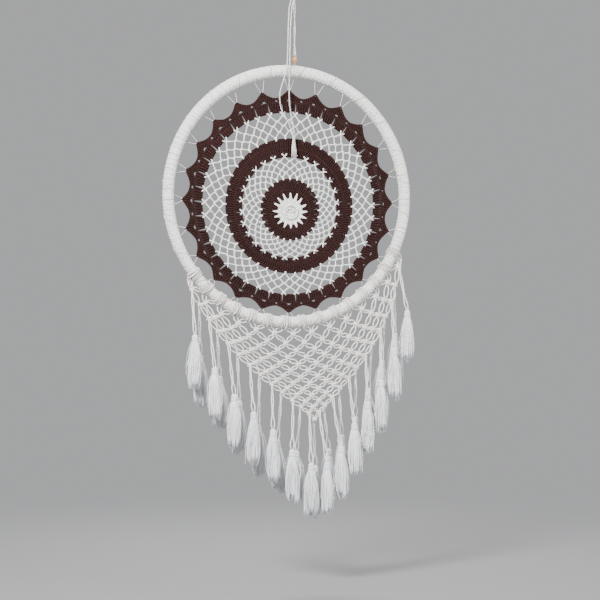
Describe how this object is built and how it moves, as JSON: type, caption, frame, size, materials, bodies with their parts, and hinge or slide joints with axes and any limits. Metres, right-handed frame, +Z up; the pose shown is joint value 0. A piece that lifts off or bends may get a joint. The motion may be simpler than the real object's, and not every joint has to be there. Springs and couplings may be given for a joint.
{
  "type": "dream catcher",
  "caption": "Round wrapped hoop hung on a cord, holding a brown and white crocheted doily, with a knotted V-shaped net and a fringe of tassels below.",
  "frame": {"origin": "top of the hanging loop, where it goes over a hook", "axes": "+Z up along the hanger, the front faces -Y, +X to the right seen from the front"},
  "size_m": [0.3519, 0.0394, 0.7469],
  "materials": {
    "cotton_cord": "matte white cotton cord",
    "wrapping_yarn": "matte white yarn wound closely round the hoop",
    "white_crochet": "matte white crocheted cotton",
    "brown_yarn": "matte very dark reddish brown crocheted cotton",
    "lacing": "thin white sewing thread",
    "tassel_yarn": "soft white acrylic or cotton yarn ends",
    "cane": "plain bent cane",
    "bead_wood": "satin tan wood"
  },
  "bodies": {
    "hanging_loop": {"hanging_loop": "cotton_cord"},
    "hoop": {"hoop_core": "cane", "hoop_wrap": "wrapping_yarn", "centre_medallion": "white_crochet", "inner_band": "brown_yarn", "inner_netting": "white_crochet", "middle_band": "brown_yarn", "outer_netting": "white_crochet", "scalloped_border": "brown_yarn", "lacing_thread": "lacing", "hitch_01": "cotton_cord", "hitch_02": "cotton_cord", "hitch_03": "cotton_cord", "hitch_04": "cotton_cord", "hitch_05": "cotton_cord", "hitch_06": "cotton_cord", "hitch_07": "cotton_cord", "hitch_08": "cotton_cord", "hitch_09": "cotton_cord", "hitch_10": "cotton_cord", "hitch_11": "cotton_cord", "hitch_12": "cotton_cord", "hitch_13": "cotton_cord", "hitch_14": "cotton_cord", "hitch_15": "cotton_cord", "fringe_net": "cotton_cord", "top_knot": "cotton_cord", "hanger_cord": "cotton_cord", "cord_binding": "cotton_cord"},
    "bead": {"wooden_bead": "bead_wood"},
    "tail": {"tail_cord_left": "cotton_cord", "tail_cord_right": "cotton_cord", "tail_tuft": "tassel_yarn"},
    "tassel_point": {"tassel_point": "tassel_yarn"},
    "tassel_left_01": {"tassel_left_01": "tassel_yarn"},
    "tassel_left_02": {"tassel_left_02": "tassel_yarn"},
    "tassel_left_03": {"tassel_left_03": "tassel_yarn"},
    "tassel_left_04": {"tassel_left_04": "tassel_yarn"},
    "tassel_left_05": {"tassel_left_05": "tassel_yarn"},
    "tassel_left_06": {"tassel_left_06": "tassel_yarn"},
    "tassel_left_07": {"tassel_left_07": "tassel_yarn"},
    "tassel_left_08": {"tassel_left_08": "tassel_yarn"},
    "tassel_left_09": {"tassel_left_09": "tassel_yarn"},
    "tassel_left_10": {"tassel_left_10": "tassel_yarn"},
    "tassel_left_11": {"tassel_left_11": "tassel_yarn"},
    "tassel_left_12": {"tassel_left_12": "tassel_yarn"},
    "tassel_left_13": {"tassel_left_13": "tassel_yarn"},
    "tassel_right_01": {"tassel_right_01": "tassel_yarn"},
    "tassel_right_02": {"tassel_right_02": "tassel_yarn"},
    "tassel_right_03": {"tassel_right_03": "tassel_yarn"},
    "tassel_right_04": {"tassel_right_04": "tassel_yarn"},
    "tassel_right_05": {"tassel_right_05": "tassel_yarn"},
    "tassel_right_06": {"tassel_right_06": "tassel_yarn"},
    "tassel_right_07": {"tassel_right_07": "tassel_yarn"},
    "tassel_right_08": {"tassel_right_08": "tassel_yarn"},
    "tassel_right_09": {"tassel_right_09": "tassel_yarn"},
    "tassel_right_10": {"tassel_right_10": "tassel_yarn"},
    "tassel_right_11": {"tassel_right_11": "tassel_yarn"},
    "tassel_right_12": {"tassel_right_12": "tassel_yarn"},
    "tassel_right_13": {"tassel_right_13": "tassel_yarn"}
  },
  "joints": [
    {"name": "turn", "type": "hinge", "parent": "hanging_loop", "child": "hoop", "pos_m": [0, 0, -0.03], "axis": [0, 0, 1], "range_deg": [-180, 180]},
    {"name": "bead_slide", "type": "slide", "parent": "hoop", "child": "bead", "axis": [0, 0, 1], "range_m": [-0.0024, 0]},
    {"name": "tail_swing", "type": "hinge", "parent": "hoop", "child": "tail", "pos_m": [-0.0015, -0.003, -0.041], "axis": [1, 0, 0], "range_deg": [-25, 0]},
    {"name": "tassel_point_swing", "type": "hinge", "parent": "hoop", "child": "tassel_point", "pos_m": [0.02855, 0.0034, -0.60996], "axis": [1, 0, 0], "range_deg": [0, 40]},
    {"name": "tassel_left_01_swing", "type": "hinge", "parent": "hoop", "child": "tassel_left_01", "pos_m": [0.02037, -0.0034, -0.60208], "axis": [1, 0, 0], "range_deg": [-40, 0]},
    {"name": "tassel_left_02_swing", "type": "hinge", "parent": "hoop", "child": "tassel_left_02", "pos_m": [0.00954, 0.0034, -0.59333], "axis": [1, 0, 0], "range_deg": [0, 40]},
    {"name": "tassel_left_03_swing", "type": "hinge", "parent": "hoop", "child": "tassel_left_03", "pos_m": [-0.0033, -0.0034, -0.58368], "axis": [1, 0, 0], "range_deg": [-40, 0]},
    {"name": "tassel_left_04_swing", "type": "hinge", "parent": "hoop", "child": "tassel_left_04", "pos_m": [-0.01757, 0.0034, -0.57315], "axis": [1, 0, 0], "range_deg": [0, 40]},
    {"name": "tassel_left_05_swing", "type": "hinge", "parent": "hoop", "child": "tassel_left_05", "pos_m": [-0.03272, -0.0034, -0.56173], "axis": [1, 0, 0], "range_deg": [-40, 0]},
    {"name": "tassel_left_06_swing", "type": "hinge", "parent": "hoop", "child": "tassel_left_06", "pos_m": [-0.04826, 0.0034, -0.54942], "axis": [1, 0, 0], "range_deg": [0, 40]},
    {"name": "tassel_left_07_swing", "type": "hinge", "parent": "hoop", "child": "tassel_left_07", "pos_m": [-0.06377, -0.0034, -0.53623], "axis": [1, 0, 0], "range_deg": [-40, 0]},
    {"name": "tassel_left_08_swing", "type": "hinge", "parent": "hoop", "child": "tassel_left_08", "pos_m": [-0.07891, 0.0034, -0.52217], "axis": [1, 0, 0], "range_deg": [0, 40]},
    {"name": "tassel_left_09_swing", "type": "hinge", "parent": "hoop", "child": "tassel_left_09", "pos_m": [-0.09341, -0.0034, -0.50721], "axis": [1, 0, 0], "range_deg": [-40, 0]},
    {"name": "tassel_left_10_swing", "type": "hinge", "parent": "hoop", "child": "tassel_left_10", "pos_m": [-0.10709, 0.0034, -0.49135], "axis": [1, 0, 0], "range_deg": [0, 40]},
    {"name": "tassel_left_11_swing", "type": "hinge", "parent": "hoop", "child": "tassel_left_11", "pos_m": [-0.11989, -0.0034, -0.47452], "axis": [1, 0, 0], "range_deg": [-40, 0]},
    {"name": "tassel_left_12_swing", "type": "hinge", "parent": "hoop", "child": "tassel_left_12", "pos_m": [-0.13188, 0.0034, -0.45656], "axis": [1, 0, 0], "range_deg": [0, 40]},
    {"name": "tassel_left_13_swing", "type": "hinge", "parent": "hoop", "child": "tassel_left_13", "pos_m": [-0.14371, -0.0034, -0.43625], "axis": [1, 0, 0], "range_deg": [-40, 0]},
    {"name": "tassel_right_01_swing", "type": "hinge", "parent": "hoop", "child": "tassel_right_01", "pos_m": [0.0347, -0.0034, -0.60141], "axis": [1, 0, 0], "range_deg": [-40, 0]},
    {"name": "tassel_right_02_swing", "type": "hinge", "parent": "hoop", "child": "tassel_right_02", "pos_m": [0.0433, 0.0034, -0.59169], "axis": [1, 0, 0], "range_deg": [0, 40]},
    {"name": "tassel_right_03_swing", "type": "hinge", "parent": "hoop", "child": "tassel_right_03", "pos_m": [0.05367, -0.0034, -0.58079], "axis": [1, 0, 0], "range_deg": [-40, 0]},
    {"name": "tassel_right_04_swing", "type": "hinge", "parent": "hoop", "child": "tassel_right_04", "pos_m": [0.0652, 0.0034, -0.56873], "axis": [1, 0, 0], "range_deg": [0, 40]},
    {"name": "tassel_right_05_swing", "type": "hinge", "parent": "hoop", "child": "tassel_right_05", "pos_m": [0.07731, -0.0034, -0.55549], "axis": [1, 0, 0], "range_deg": [-40, 0]},
    {"name": "tassel_right_06_swing", "type": "hinge", "parent": "hoop", "child": "tassel_right_06", "pos_m": [0.08951, 0.0034, -0.54111], "axis": [1, 0, 0], "range_deg": [0, 40]},
    {"name": "tassel_right_07_swing", "type": "hinge", "parent": "hoop", "child": "tassel_right_07", "pos_m": [0.10137, -0.0034, -0.52557], "axis": [1, 0, 0], "range_deg": [-40, 0]},
    {"name": "tassel_right_08_swing", "type": "hinge", "parent": "hoop", "child": "tassel_right_08", "pos_m": [0.11256, 0.0034, -0.50888], "axis": [1, 0, 0], "range_deg": [0, 40]},
    {"name": "tassel_right_09_swing", "type": "hinge", "parent": "hoop", "child": "tassel_right_09", "pos_m": [0.1228, -0.0034, -0.49103], "axis": [1, 0, 0], "range_deg": [-40, 0]},
    {"name": "tassel_right_10_swing", "type": "hinge", "parent": "hoop", "child": "tassel_right_10", "pos_m": [0.13191, 0.0034, -0.47199], "axis": [1, 0, 0], "range_deg": [0, 40]},
    {"name": "tassel_right_11_swing", "type": "hinge", "parent": "hoop", "child": "tassel_right_11", "pos_m": [0.13975, -0.0034, -0.45165], "axis": [1, 0, 0], "range_deg": [-40, 0]},
    {"name": "tassel_right_12_swing", "type": "hinge", "parent": "hoop", "child": "tassel_right_12", "pos_m": [0.14625, 0.0034, -0.42978], "axis": [1, 0, 0], "range_deg": [0, 40]},
    {"name": "tassel_right_13_swing", "type": "hinge", "parent": "hoop", "child": "tassel_right_13", "pos_m": [0.15091, -0.0034, -0.40476], "axis": [1, 0, 0], "range_deg": [-40, 0]}
  ]
}
